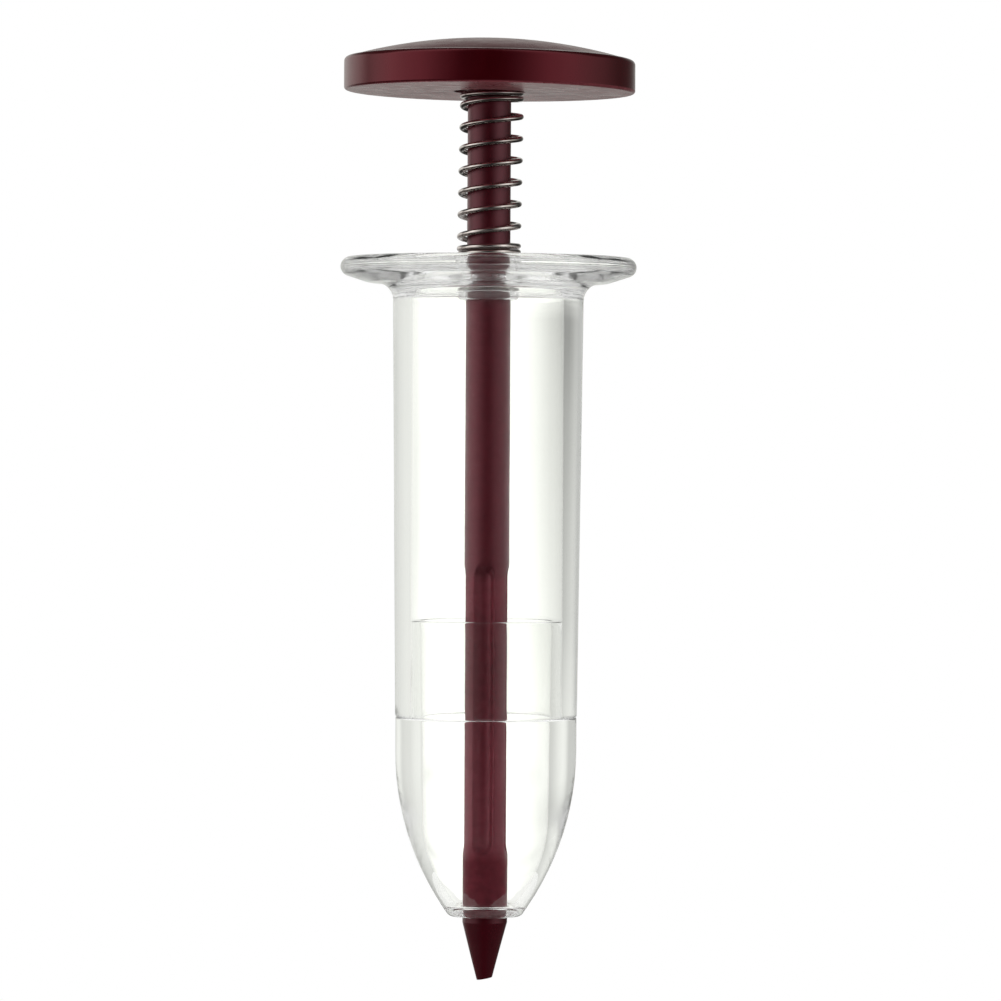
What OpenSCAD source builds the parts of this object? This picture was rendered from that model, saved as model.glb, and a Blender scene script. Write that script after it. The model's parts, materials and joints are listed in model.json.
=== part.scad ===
// Syringe seeder: a clear barrel of seed with a sprung plunger through its middle.
// A press on the thumb button drives the pointed tip into the soil and carries the flutes of the
// rod down past the outlet of the nose, so that seed runs along them into the hole.
// Millimetres. The origin is on the axis, in the plane of the flat ring under the finger flange; +Z
// is up.

/* [Barrel] */
// Diameter of the finger flange
flange_d = 42.3; // [38:0.1:50]
// Thickness of the finger flange at the flat ring beside the barrel
flange_t = 3.65; // [2.6:0.05:5]
// Width of the flat ring under the flange
flange_flat_w = 1; // [0.4:0.1:3]
// Angle at which the underside rises from the flat ring to the rounded rim
rim_rise = 18; // [5:0.5:20]
// Radius of the fillet between the flange's underside and the barrel
flange_fillet_r = 2.5; // [0.5:0.1:4]
// Outside diameter of the barrel where it meets the flange
barrel_top_d = 27.3; // [25:0.1:32]
// Outside diameter of the barrel at its lower edge
barrel_end_d = 26; // [24.5:0.1:31]
// Bore of the barrel
barrel_bore_d = 21.7; // [17:0.1:22.5]
// Length of the barrel below the flange's underside
barrel_len = 61.95; // [50:0.05:90]
// Thickness of the end wall that closes the top of the barrel
end_wall_t = 3; // [2:0.1:5]
// Radius of the fillet between the end wall and the bore
ceiling_fillet_r = 1; // [0.2:0.1:2]
// Diameter of the guide boss that hangs from the end wall
boss_d = 8.6; // [7.6:0.1:12]
// Length of the guide boss below the end wall
boss_len = 3; // [1.5:0.1:8]

/* [Nose] */
// Outside diameter of the nose where it meets the barrel
nose_d = 25.9; // [25:0.1:30]
// Length of the nose below the barrel's lower edge
nose_len = 28.5; // [25:0.1:30]
// Length of the nose that stays straight before it curves in
nose_straight = 4.85; // [3.5:0.05:8]
// Diameter of the flat face at the bottom of the nose
nose_face_d = 10.4; // [9.4:0.1:11.4]
// Angle from the axis at which the nose ends
nose_end_angle = 34; // [31:0.5:36]
// Corner radius between the nose and its flat face
nose_corner_r = 1; // [0.3:0.1:1.6]
// Wall of the nose at its lower end
nose_wall = 1.6; // [1:0.05:2]
// Thickness of the nose's floor around the outlet
nose_floor_t = 1.9; // [1.5:0.1:2.6]
// Length of the sleeve that plugs into the barrel
sleeve_len = 13.9; // [8:0.1:20]
// Wall of the sleeve
sleeve_wall = 1.45; // [0.8:0.05:2]
// How far the cavity draws in, on its radius, from the sleeve's mouth to the curved part
cavity_draft = 0.45; // [0:0.05:1]
// Share of the cavity's lower cone that the bend above it takes up
cavity_bend_share = 0.85; // [0.2:0.05:0.95]

/* [Plunger] */
// Diameter of the metering rod, which fills the outlet
rod_d = 6.4; // [6.35:0.05:7.2]
// Diameter of the spindle inside the spring, less than the rod's by a shoulder that stops it
spindle_d = 6.2; // [5:0.05:6.25]
// Diameter of the spigot that the button is pressed on to
spigot_d = 4.4; // [3:0.1:4.8]
// Length of the spigot
spigot_len = 4.2; // [2:0.1:4.4]
// Number of flutes along the rod
flute_count = 4; // [1:1:4]
// Width of a flute across its mouth
flute_w = 2.8; // [1.6:0.1:3]
// Depth of a flute below the rod's surface
flute_depth = 1.2; // [0.5:0.05:1.3]
// Length of a flute between the middles of its round ends
flute_len = 37.3; // [20:0.1:45]
// Height of the middle of the lower round end above the bottom of the nose at rest
valve_lap = 11.3; // [7:0.1:13]
// Angle by which the flutes are turned about the axis from the front
flute_turn = -7; // [-45:1:45]
// Reach of the tip below the bottom of the nose at rest
tip_reach = 9.2; // [5:0.1:20]
// Length of the tip's cone
tip_len = 8.3; // [4:0.1:12]
// Diameter at the end of the tip
tip_end_d = 2.2; // [1:0.1:4]
// Slant of the tip's end face
tip_slant = 10.5; // [0:0.5:25]

/* [Button] */
// Diameter of the thumb button
button_d = 41.6; // [25:0.1:50]
// Height of the button's straight side
button_side_h = 4.6; // [3:0.05:8]
// Rise of the dome above the side
button_dome_h = 2.95; // [1.5:0.05:6]
// Radius of the button's edges
button_edge_r = 0.4; // [0.1:0.05:1]
// Depth of the recess under the button that the spring seats in
recess_depth = 0.25; // [0.2:0.05:1.5]
// Depth of the socket for the spigot above that recess
socket_depth = 4.5; // [4.3:0.1:5]

/* [Spring] */
// Wire diameter
wire_d = 0.8; // [0.5:0.05:1]
// Mean diameter of the coils
coil_d = 8.4; // [7.6:0.1:12]
// Length of the spring as it sits under the button at rest
spring_len = 23.9; // [18:0.1:36]
// Turns of wire in all
coil_turns = 9.5; // [7:0.5:11]
// Turns wound close at each end
end_turns = 1.25; // [1:0.25:2]
// Gap between the close turns
end_gap = 0.45; // [0.42:0.01:0.6]

/* [Fits] */
// Radial clearance of the rod in the outlet and of the spindle in its guide
running_clearance = 0.06; // [0.03:0.01:0.09]
// Radial clearance of the sleeve in the barrel
sleeve_clearance = 0.05; // [0.02:0.01:0.15]
// Radial clearance of the spigot in its socket
press_clearance = 0.02; // [0.01:0.01:0.05]
// Radial clearance of the spring in its recess
recess_clearance = 0.4; // [0.2:0.05:1]
// Gap between faces that seat on each other
seat_gap = 0.05; // [0.02:0.01:0.1]
// Width of the small chamfers at mouths and free edges
edge_chamfer = 0.3; // [0.1:0.05:0.5]

/* [Hidden] */
$fn = 96;
arc_steps = 8;
coil_rings = 16;
wire_sides = 6;

clear_plastic = [0.9, 0.94, 0.93, 0.4];
maroon_plastic = [0.3, 0.06, 0.1];
spring_steel = [0.62, 0.6, 0.57];

flange_r = flange_d / 2;
barrel_top_r = barrel_top_d / 2;
barrel_end_r = barrel_end_d / 2;
bore_r = barrel_bore_d / 2;
boss_r = boss_d / 2;
guide_r = spindle_d / 2 + running_clearance;
outlet_r = rod_d / 2 + running_clearance;
ceiling_z = flange_t - end_wall_t;
boss_z = ceiling_z - boss_len;
barrel_end_z = -barrel_len;
barrel_taper = atan((barrel_top_r - barrel_end_r) / barrel_len);
fillet_c = [
    barrel_top_r - flange_fillet_r * tan(barrel_taper) + flange_fillet_r / cos(barrel_taper),
    -flange_fillet_r
];
flat_r = fillet_c[0] + flange_flat_w;
// The rim is the circle that touches the flange's top, its edge and the rising underside
rim_r = (flange_t * cos(rim_rise) - (flange_r - flat_r) * sin(rim_rise))
    / (1 + cos(rim_rise) - sin(rim_rise));
rim_c = [flange_r - rim_r, flange_t - rim_r];

nose_r = nose_d / 2;
nose_top_z = barrel_end_z - seat_gap;
nose_face_z = nose_top_z - nose_len;
nose_face_r = nose_face_d / 2;
nose_arc_z = nose_top_z - nose_straight;
sleeve_top_z = nose_top_z + sleeve_len;
sleeve_r = bore_r - sleeve_clearance;
cavity_top_r = sleeve_r - sleeve_wall;
cavity_end_r = cavity_top_r - cavity_draft;
floor_z = nose_face_z + nose_floor_t;
// The nose is an arc that starts straight and runs into a cone through the rim of the flat face
nose_drop = nose_arc_z - nose_face_z;
nose_inset = nose_r - nose_face_r;
nose_arc_r = (nose_drop * sin(nose_end_angle) - nose_inset * cos(nose_end_angle))
    / (1 - cos(nose_end_angle));
nose_arc_c = [nose_r - nose_arc_r, nose_arc_z];
floor_r = nose_face_r + nose_floor_t * tan(nose_end_angle) - nose_wall / cos(nose_end_angle);
// The cavity leaves the floor in a cone and bends up, tangent to both, into its straight part
cavity_corner_z = floor_z + (cavity_end_r - floor_r) / tan(nose_end_angle);
cavity_bend_reach = cavity_bend_share * (cavity_end_r - floor_r) / sin(nose_end_angle);
cavity_bend_r = cavity_bend_reach / tan(nose_end_angle / 2);
cavity_bend_c = [cavity_end_r - cavity_bend_r, cavity_corner_z + cavity_bend_reach];

rod_r = rod_d / 2;
spindle_r = spindle_d / 2;
shoulder_z = boss_z - seat_gap;
seat_z = flange_t + spring_len;
tip_z = nose_face_z - tip_reach;
flute_low_z = nose_face_z + valve_lap;
// The ball-ended cutter whose circle leaves a flute of the set width and depth in the rod
flute_sagitta = rod_r - sqrt(rod_r * rod_r - flute_w * flute_w / 4);
flute_sink = flute_depth - flute_sagitta;
cutter_r = (flute_w * flute_w / 4 + flute_sink * flute_sink) / (2 * flute_sink);
cutter_offset = rod_r - flute_depth + cutter_r;

button_r = button_d / 2;
button_z = seat_z - recess_depth;
socket_r = spigot_d / 2 + press_clearance;
button_side_z = button_z + button_side_h;
// The middles of the rounded edges and the rim of the dome lie at one radius
edge_r = button_r - button_edge_r;
dome_r = (edge_r * edge_r + button_dome_h * button_dome_h) / (2 * button_dome_h);
dome_angle = acos(edge_r / dome_r);

wire_r = wire_d / 2;
coil_r = coil_d / 2;
recess_r = coil_r + wire_r + recess_clearance;
coil_base_z = flange_t + seat_gap + wire_r;
coil_span = spring_len - 2 * (seat_gap + wire_r);
end_pitch = wire_d + end_gap;
free_turns = coil_turns - 2 * end_turns;
free_pitch = (coil_span - 2 * end_turns * end_pitch) / free_turns;
ring_total = round(coil_turns * coil_rings);

// Points of an arc about c, from angle a0 to angle a1
function arc(c, r, a0, a1) =
    [for (i = [0 : arc_steps]) let (a = a0 + (a1 - a0) * i / arc_steps) c + r * [cos(a), sin(a)]];

// Height of the wire's middle above its lower end after t turns
function coil_height(t) =
    t < end_turns ? end_pitch * t
    : t > coil_turns - end_turns ? coil_span - end_pitch * (coil_turns - t)
    : end_turns * end_pitch + free_pitch * (t - end_turns);

function coil_slope(t) = t < end_turns || t > coil_turns - end_turns ? end_pitch : free_pitch;

// One ring of points around the wire, square to the helix
function wire_ring(t) =
    let (
        a = 180 + 360 * t,
        out = [cos(a), sin(a), 0],
        climb = atan(coil_slope(t) / (2 * PI * coil_r)),
        up = [sin(a) * sin(climb), -cos(a) * sin(climb), cos(climb)],
        middle = coil_r * out + [0, 0, coil_base_z + coil_height(t)]
    )
    [for (j = [0 : wire_sides - 1]) let (b = 360 * j / wire_sides)
        middle + wire_r * (cos(b) * out + sin(b) * up)];

rings = [for (i = [0 : ring_total]) wire_ring(i / coil_rings)];

// Least distance between the points of each ring and those of the rings one turn on
least_gap = min([
    for (i = [0 : ring_total - coil_rings - 1], n = [-1 : 1], p = rings[i], q = rings[i + coil_rings + n])
        norm(p - q)
]);
echo(least_gap_between_turns = least_gap);

// Half section of the barrel: flange, tapered wall, end wall and guide boss in one moulding
module barrel_section() {
    ceiling_c = [bore_r - ceiling_fillet_r, ceiling_z - ceiling_fillet_r];
    polygon(concat(
        [[guide_r + edge_chamfer, flange_t]],
        arc(rim_c, rim_r, 90, 0),
        arc(rim_c, rim_r, 0, rim_rise - 90),
        [[flat_r, 0]],
        arc(fillet_c, flange_fillet_r, 90, 180 - barrel_taper),
        [
            [barrel_end_r, barrel_end_z + edge_chamfer],
            [barrel_end_r - edge_chamfer, barrel_end_z],
            [bore_r + edge_chamfer, barrel_end_z],
            [bore_r, barrel_end_z + edge_chamfer]
        ],
        arc(ceiling_c, ceiling_fillet_r, 0, 90),
        [
            [boss_r, ceiling_z],
            [boss_r, boss_z + edge_chamfer],
            [boss_r - edge_chamfer, boss_z],
            [guide_r, boss_z],
            [guide_r, flange_t - edge_chamfer]
        ]
    ));
}

module barrel() {
    color(clear_plastic)
        rotate_extrude()
            barrel_section();
}

// Half section of the nose: sleeve, ogive shell and floor with the outlet through it
module nose_section() {
    polygon(concat(
        [
            [cavity_top_r, sleeve_top_z],
            [sleeve_r - edge_chamfer, sleeve_top_z],
            [sleeve_r, sleeve_top_z - edge_chamfer],
            [sleeve_r, nose_top_z],
            [nose_r - edge_chamfer, nose_top_z],
            [nose_r, nose_top_z - edge_chamfer]
        ],
        arc(nose_arc_c, nose_arc_r, 0, -nose_end_angle),
        arc(
            [nose_face_r - nose_corner_r * tan(45 - nose_end_angle / 2), nose_face_z + nose_corner_r],
            nose_corner_r, -nose_end_angle, -90
        ),
        [
            [outlet_r, nose_face_z],
            [outlet_r, floor_z],
            [floor_r, floor_z]
        ],
        arc(cavity_bend_c, cavity_bend_r, -nose_end_angle, 0)
    ));
}

module nose_cone() {
    color(clear_plastic)
        rotate_extrude()
            nose_section();
}

// Half section of the plunger before its flutes are cut
module plunger_section() {
    polygon([
        [0, seat_z + spigot_len],
        [spigot_d / 2 - edge_chamfer, seat_z + spigot_len],
        [spigot_d / 2, seat_z + spigot_len - edge_chamfer],
        [spigot_d / 2, seat_z],
        [spindle_r, seat_z],
        [spindle_r, shoulder_z],
        [rod_r, shoulder_z],
        [rod_r, tip_z + tip_len],
        [tip_end_d / 2, tip_z],
        [0, tip_z]
    ]);
}

// Ball-ended cutter that leaves one flute on the front of the rod
module flute_cutter() {
    translate([0, -cutter_offset, flute_low_z]) {
        sphere(r = cutter_r);
        cylinder(r = cutter_r, h = flute_len);
        translate([0, 0, flute_len])
            sphere(r = cutter_r);
    }
}

// Half space below the slanted end of the tip, through the tip's lowest left corner
module tip_cutter() {
    size = 4 * rod_d;
    translate([-tip_end_d / 2, 0, tip_z])
        rotate([0, -tip_slant, 0])
            translate([-size / 2, -size / 2, -size])
                cube(size);
}

module plunger_rod() {
    color(maroon_plastic)
        difference() {
            rotate_extrude()
                plunger_section();
            for (i = [0 : flute_count - 1])
                rotate([0, 0, flute_turn + 360 * i / flute_count])
                    flute_cutter();
            tip_cutter();
        }
}

// Half section of the button: flat underside with the spring's recess and the socket, straight
// side and shallow dome
module button_section() {
    polygon(concat(
        [
            [socket_r, seat_z + socket_depth],
            [socket_r, seat_z],
            [recess_r, seat_z],
            [recess_r, button_z]
        ],
        arc([edge_r, button_z + button_edge_r], button_edge_r, -90, 0),
        arc([edge_r, button_side_z - button_edge_r], button_edge_r, 0, 90),
        arc([0, button_side_z + button_dome_h - dome_r], dome_r, dome_angle, 90),
        [[0, seat_z + socket_depth]]
    ));
}

module thumb_button() {
    color(maroon_plastic)
        rotate_extrude()
            button_section();
}

// Compression spring as one unbroken tube of triangles along a right-hand helix
module return_spring() {
    last = ring_total * wire_sides;
    sides = [
        for (i = [0 : ring_total - 1], j = [0 : wire_sides - 1])
            let (
                a = i * wire_sides + j,
                b = i * wire_sides + (j + 1) % wire_sides,
                c = a + wire_sides,
                d = b + wire_sides
            )
            each [[a, b, d], [a, d, c]]
    ];
    low_cap = [for (j = [1 : wire_sides - 2]) [0, j + 1, j]];
    high_cap = [for (j = [1 : wire_sides - 2]) [last, last + j, last + j + 1]];
    color(spring_steel)
        polyhedron([for (ring = rings) each ring], concat(sides, low_cap, high_cap));
}

barrel();
nose_cone();
plunger_rod();
thumb_button();
return_spring();
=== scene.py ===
"""Looks of a syringe seeder: a clear barrel and nose, and a maroon plunger on its return spring.

Every piece is a surface worked out with numpy in the part's own frame, in metres: +Z runs up the
axis to the thumb button, -Y is the side that the photograph shows, and the origin lies on the axis
in the plane of the flat ring under the finger flange.
"""
import json
import logging
import math
from collections.abc import Sequence
from dataclasses import dataclass
from enum import Enum

import bpy
import numpy as np
from mathutils import Matrix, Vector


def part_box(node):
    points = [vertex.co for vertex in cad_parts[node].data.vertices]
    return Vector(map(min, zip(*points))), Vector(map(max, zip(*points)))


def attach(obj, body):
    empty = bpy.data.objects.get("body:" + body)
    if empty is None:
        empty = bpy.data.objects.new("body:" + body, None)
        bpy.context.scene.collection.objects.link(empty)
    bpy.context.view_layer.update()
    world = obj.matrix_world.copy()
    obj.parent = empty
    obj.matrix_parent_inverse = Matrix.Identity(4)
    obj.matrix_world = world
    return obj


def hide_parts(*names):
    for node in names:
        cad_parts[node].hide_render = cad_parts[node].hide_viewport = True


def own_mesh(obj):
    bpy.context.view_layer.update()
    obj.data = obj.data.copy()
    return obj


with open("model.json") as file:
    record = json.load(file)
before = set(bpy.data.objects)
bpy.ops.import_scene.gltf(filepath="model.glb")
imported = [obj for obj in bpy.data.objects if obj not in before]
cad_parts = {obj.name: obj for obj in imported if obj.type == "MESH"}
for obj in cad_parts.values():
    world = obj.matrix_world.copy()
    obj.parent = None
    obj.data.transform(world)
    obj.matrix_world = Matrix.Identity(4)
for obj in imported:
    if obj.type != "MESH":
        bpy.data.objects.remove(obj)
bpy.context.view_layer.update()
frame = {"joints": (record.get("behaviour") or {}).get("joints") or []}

LOG = logging.getLogger("syringe_seeder")
MM = 0.001
WIRE_MAP = "wire"
WHITE = (1.0, 1.0, 1.0, 1.0)
BLACK = (0.0, 0.0, 0.0, 1.0)

# Rounding of the moulded edges, the gap where the wire touches, and how near two points are one.
EDGE = 0.25 * MM
FIT = 0.02 * MM
ONE_POINT = 1e-7

# Faces of clear plastic that light passes when it is reflected within the first wall that it meets,
# and when it is reflected within the second.
FIRST_WALL_FACES = 2
SECOND_WALL_FACES = 6

# Short names of types: a span is a pair of a start and an end, and stops are pairs of place and level.
Node = bpy.types.Node
Socket = bpy.types.NodeSocket
Colour = tuple[float, float, float]
Span = tuple[float, float]
Stops = tuple[tuple[float, float], ...]


class Body(str, Enum):
    """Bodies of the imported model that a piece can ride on."""

    BARREL = "barrel"
    SPRING = "spring"
    PLUNGER = "plunger"
    NOSE = "nose"


class Topology(Enum):
    """How the rows of a surface grid close."""

    RING = "the last row joins the first"
    POLES = "a point closes the first row, and another the last"


# Shapes


def rounded_path(
    corners: Sequence[Sequence[float]],
    closed: bool,
    arc_step: float = math.radians(6.0),
    run: float = 1.5 * MM,
) -> np.ndarray:
    """Walk a line of corners in a plane, with each corner rounded to its own radius.

    With unit vectors u and v from a corner to its neighbours and the angle a between them, the arc
    touches both sides at rounding / tan(a / 2) from the corner, and its centre lies on the
    bisector at rounding / sin(a / 2). Straight stretches are cut into runs of about one length.

    Args:
        corners: A (radius, height, rounding) triple for each corner, in metres; a rounding of 0
            keeps the corner sharp.
        closed: True where the last corner joins the first.
        arc_step: Largest turn between two points of an arc, in radians.
        run: Largest distance between two points of a straight stretch, in metres.

    Returns:
        The points of the path, as an array of shape (count, 2).
    """
    table = np.asarray(corners, float)
    points, roundings = table[:, :2], table[:, 2]
    count = len(points)
    stretches: list[np.ndarray] = []
    for index, corner in enumerate(points):
        if roundings[index] <= 0 or (not closed and index in (0, count - 1)):
            stretches.append(corner[None, :])
            continue
        u = points[index - 1] - corner
        v = points[(index + 1) % count] - corner
        u, v = u / np.linalg.norm(u), v / np.linalg.norm(v)
        half = math.acos(float(np.clip(u @ v, -1.0, 1.0))) / 2
        reach = roundings[index] / math.tan(half)
        bisector = (u + v) / np.linalg.norm(u + v)
        centre = corner + bisector * roundings[index] / math.sin(half)
        first, last = corner + u * reach - centre, corner + v * reach - centre
        turn = math.pi - 2 * half
        sign = math.copysign(1.0, first[0] * last[1] - first[1] * last[0])
        steps = max(2, math.ceil(turn / arc_step))
        angle = math.atan2(first[1], first[0]) + sign * turn * np.linspace(0, 1, steps + 1)
        stretches.append(arc_points(centre, roundings[index], angle))
    path = [stretches[0]]
    followers = stretches[1:] + ([stretches[0][:1]] if closed else [])
    for stretch in followers:
        start, end = path[-1][-1], stretch[0]
        pieces = max(1, math.ceil(float(np.linalg.norm(end - start)) / run))
        share = np.arange(1, pieces)[:, None] / pieces
        if pieces > 1:
            path.append(start + (end - start) * share)
        path.append(stretch)
    walked = np.concatenate(path)
    if closed:
        walked = walked[:-1]
    gaps = np.linalg.norm(np.diff(walked, axis=0), axis=1)
    return walked[np.concatenate([[True], gaps > ONE_POINT])]


def arc_points(centre: Sequence[float], radius: float, angle: np.ndarray) -> np.ndarray:
    """Points at the given angles of a circle: centre + radius (cos a, sin a)."""
    return np.asarray(centre) + radius * np.stack([np.cos(angle), np.sin(angle)], axis=1)


def ease(value: np.ndarray) -> np.ndarray:
    """Rise smoothly from 0 to 1: t^2 (3 - 2 t), with t the value kept within 0 and 1."""
    share = np.clip(value, 0.0, 1.0)
    return share**2 * (3 - 2 * share)


def linked(name: str, data: bpy.types.ID) -> bpy.types.Object:
    """Put a mesh or a camera into the scene.

    Args:
        name: Name of the object.
        data: The mesh or the camera.

    Returns:
        The new object.
    """
    thing = bpy.data.objects.new(name, data)
    bpy.context.scene.collection.objects.link(thing)
    return thing


@dataclass
class Surface:
    """A closed surface: its vertices, its quads and the triangles round its poles."""

    points: np.ndarray
    quads: np.ndarray
    fans: np.ndarray
    uv: np.ndarray | None = None

    @classmethod
    def from_grid(cls, grid: np.ndarray, poles: np.ndarray, topology: Topology) -> "Surface":
        """Join a grid of points whose columns close round an axis.

        Args:
            grid: Points of the rows, as an array of shape (rows, columns, 3).
            poles: The two points that close the first and the last row, or none for a RING.
            topology: How the rows close.

        Returns:
            The surface.
        """
        rows, columns = grid.shape[:2]
        strips = rows if topology is Topology.RING else rows - 1
        row = np.arange(strips)[:, None] * columns
        below = (row + columns) % (rows * columns)
        column = np.arange(columns)[None, :]
        after = (column + 1) % columns
        quads = np.stack([row + column, row + after, below + after, below + column], axis=-1).reshape(-1, 4)
        fans = np.empty((0, 3), int)
        if topology is Topology.POLES:
            pole = np.full(columns, rows * columns)
            last = (rows - 1) * columns
            low = np.stack([pole, after[0], column[0]], axis=1)
            high = np.stack([pole + 1, column[0] + last, after[0] + last], axis=1)
            fans = np.concatenate([low, high])
        return cls(np.concatenate([grid.reshape(-1, 3), poles]), quads, fans)

    def triangles(self) -> np.ndarray:
        """All faces as triangles, as an array of shape (count, 3)."""
        return np.concatenate([self.quads[:, [0, 1, 2]], self.quads[:, [0, 2, 3]], self.fans])

    def face_outwards(self) -> None:
        """Turn the faces over where the volume, a sixth of the sum of p . (q x r), is negative."""
        p, q, r = np.moveaxis(self.points[self.triangles()], 1, 0)
        if np.einsum("ij,ij->", p, np.cross(q, r)) < 0:
            self.quads = self.quads[:, ::-1]
            self.fans = self.fans[:, ::-1]

    def normals(self) -> np.ndarray:
        """Average the faces' normals at each vertex, weighted by area, so that flats stay flat.

        Returns:
            A unit normal for each vertex, as an array of shape (count, 3).
        """
        triangles = self.triangles()
        p, q, r = np.moveaxis(self.points[triangles], 1, 0)
        total = np.zeros_like(self.points)
        np.add.at(total, triangles.ravel(), np.repeat(np.cross(q - p, r - p), 3, axis=0))
        return total / np.linalg.norm(total, axis=1, keepdims=True)

    def piece(self, name: str) -> bpy.types.Object:
        """Put the surface into a smooth mesh object at the origin.

        Args:
            name: Name of the piece.

        Returns:
            The new object.
        """
        self.face_outwards()
        mesh = bpy.data.meshes.new(name)
        mesh.from_pydata(self.points.tolist(), [], self.quads.tolist() + self.fans.tolist())
        mesh.shade_smooth()
        mesh.normals_split_custom_set_from_vertices(self.normals().tolist())
        if self.uv is not None:
            corner_vertex = np.empty(len(mesh.loops), np.int32)
            mesh.loops.foreach_get("vertex_index", corner_vertex)
            layer = mesh.uv_layers.new(name=WIRE_MAP)
            layer.data.foreach_set("uv", self.uv[corner_vertex].astype(np.float32).ravel())
        return linked(name, mesh)


def lathe(profile: np.ndarray, columns: int, topology: Topology) -> Surface:
    """Carry a profile round the Z axis: x = r cos t, y = r sin t, z = z.

    Args:
        profile: (radius, height) points; with POLES its first and last point lie on the axis.
        columns: Points round the axis.
        topology: RING for a closed profile, POLES for one that starts and ends on the axis.

    Returns:
        The surface.
    """
    poled = topology is Topology.POLES
    body = profile[1:-1] if poled else profile
    angle = np.linspace(0, 2 * math.pi, columns, endpoint=False)
    x, y = body[:, :1] * np.cos(angle), body[:, :1] * np.sin(angle)
    z = np.broadcast_to(body[:, 1:], x.shape)
    ends = np.insert(profile[[0, -1]], 1, 0.0, axis=1) if poled else np.empty((0, 3))
    return Surface.from_grid(np.stack([x, y, z], axis=-1), ends, topology)


# Finishes


class Graph:
    """A node tree with short ways to add nodes and join them."""

    def __init__(self, tree: bpy.types.NodeTree) -> None:
        """Take over a tree and empty it."""
        self.tree = tree
        tree.nodes.clear()

    def add(self, kind: str, settings: dict | None = None, **inputs: object) -> Node:
        """Add a node.

        Args:
            kind: Blender's name for the node type.
            settings: Properties of the node, by name.
            inputs: Values or sockets for its inputs, with _ for a space in the input's name.

        Returns:
            The new node.
        """
        node = self.tree.nodes.new(kind)
        for key, value in (settings or {}).items():
            setattr(node, key, value)
        self.join(node, **inputs)
        return node

    def join(self, node: Node, **inputs: object) -> None:
        """Feed values or sockets to a node's inputs, with _ for a space in an input's name."""
        for key, value in inputs.items():
            self.feed(node.inputs[key.replace("_", " ")], value)

    def feed(self, target: Socket, value: object) -> None:
        """Join a socket to an input, or set the input's own value.

        Args:
            target: The input.
            value: Socket to join, or value to set.
        """
        if isinstance(value, Socket):
            self.tree.links.new(value, target)
        else:
            target.default_value = value

    def maths(self, operation: str, *values: object) -> Socket:
        """Add a Math node.

        Args:
            operation: Blender's name for the operation.
            values: Values or sockets for its inputs, in order.

        Returns:
            The result's socket.
        """
        node = self.add("ShaderNodeMath", {"operation": operation})
        for index, value in enumerate(values):
            self.feed(node.inputs[index], value)
        return node.outputs[0]

    def at_most(self, count: Socket, limit: int) -> Socket:
        """Tell with 1 or 0 if a whole count is at most a limit, by a test half a count above it."""
        return self.maths("LESS_THAN", count, limit + 0.5)

    def ramp(self, factor: Socket, stops: Sequence[tuple]) -> Socket:
        """Map a factor through stops of (position, grey or colour).

        Args:
            factor: Socket to read.
            stops: Positions from 0 to 1, each with a number or an (r, g, b) colour.

        Returns:
            The colour socket.
        """
        node = self.add("ShaderNodeValToRGB", Fac=factor)
        elements = node.color_ramp.elements
        while len(elements) < len(stops):
            elements.new(0.5)
        for element, (position, tone) in zip(elements, stops):
            element.position = position
            colour = (tone,) * 3 if isinstance(tone, (int, float)) else tuple(tone)
            element.color = (*colour, 1.0)
        return node.outputs["Color"]

    def between(self, factor: Socket, span: Span, first: object, last: object) -> Socket:
        """Run from one grey or colour to another while a factor crosses a span."""
        return self.ramp(factor, [(span[0], first), (span[1], last)])

    def place(self) -> Socket:
        """Give the place on a piece, in the part's own frame."""
        return self.add("ShaderNodeTexCoord").outputs["Object"]

    def zone(self, vector: Socket, start: float, end: float) -> Socket:
        """Rise from 0 at one height of a vector to 1 at another, and stay there."""
        height = self.add("ShaderNodeSeparateXYZ", Vector=vector).outputs["Z"]
        return self.add("ShaderNodeMapRange", Value=height, From_Min=start, From_Max=end).outputs["Result"]

    def profile(self, vector: Socket, stops: Stops) -> Socket:
        """Follow stops along the Z of a vector, with straight runs between them.

        Args:
            vector: Socket of a place.
            stops: (height, level) pairs, from the lowest up.

        Returns:
            The level's socket.
        """
        low, high = stops[0][0], stops[-1][0]
        shares = [((height - low) / (high - low), level) for height, level in stops]
        return self.ramp(self.zone(vector, low, high), shares)

    def tint(self, factor: Socket, first: object, second: object) -> Socket:
        """Mix two colours by a factor.

        Args:
            factor: Share of the second colour.
            first: Colour or socket at a factor of 0.
            second: Colour or socket at a factor of 1.

        Returns:
            The colour socket.
        """
        node = self.add("ShaderNodeMix", {"data_type": "RGBA"})
        # The node has sockets for numbers, vectors and colours, and these are the ones for colours.
        for index, value in ((0, factor), (6, first), (7, second)):
            self.feed(node.inputs[index], value)
        return node.outputs[2]

    def azimuth(self, vector: Socket) -> Socket:
        """Give a vector's azimuth as a share of a turn, from 0.5 at the camera's side up to the right.

        Args:
            vector: Socket of a direction or a place.

        Returns:
            The share's socket.
        """
        parts = self.add("ShaderNodeSeparateXYZ", Vector=vector)
        forward = self.maths("MULTIPLY", parts.outputs["Y"], -1.0)
        angle = self.maths("ARCTAN2", parts.outputs["X"], forward)
        return self.maths("MULTIPLY_ADD", angle, 0.5 / math.pi, 0.5)

    def straight(self, path: Node) -> Socket:
        """Tell by a Light Path node, with 1 or 0, if light has met nothing but clear plastic."""
        bounces = self.maths("ADD", path.outputs["Glossy Depth"], path.outputs["Diffuse Depth"])
        return self.at_most(bounces, 0)

    def mirrored(self, path: Node) -> Socket:
        """Tell by a Light Path node, with 1 or 0, if light was mirrored and not let through."""
        return self.maths("SUBTRACT", path.outputs["Is Glossy Ray"], path.outputs["Is Transmission Ray"])

    def first_wall(self, path: Node) -> Socket:
        """Tell by a Light Path node, with 1 or 0, if light has passed the faces of one wall at most."""
        return self.at_most(path.outputs["Transmission Depth"], FIRST_WALL_FACES)

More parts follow.
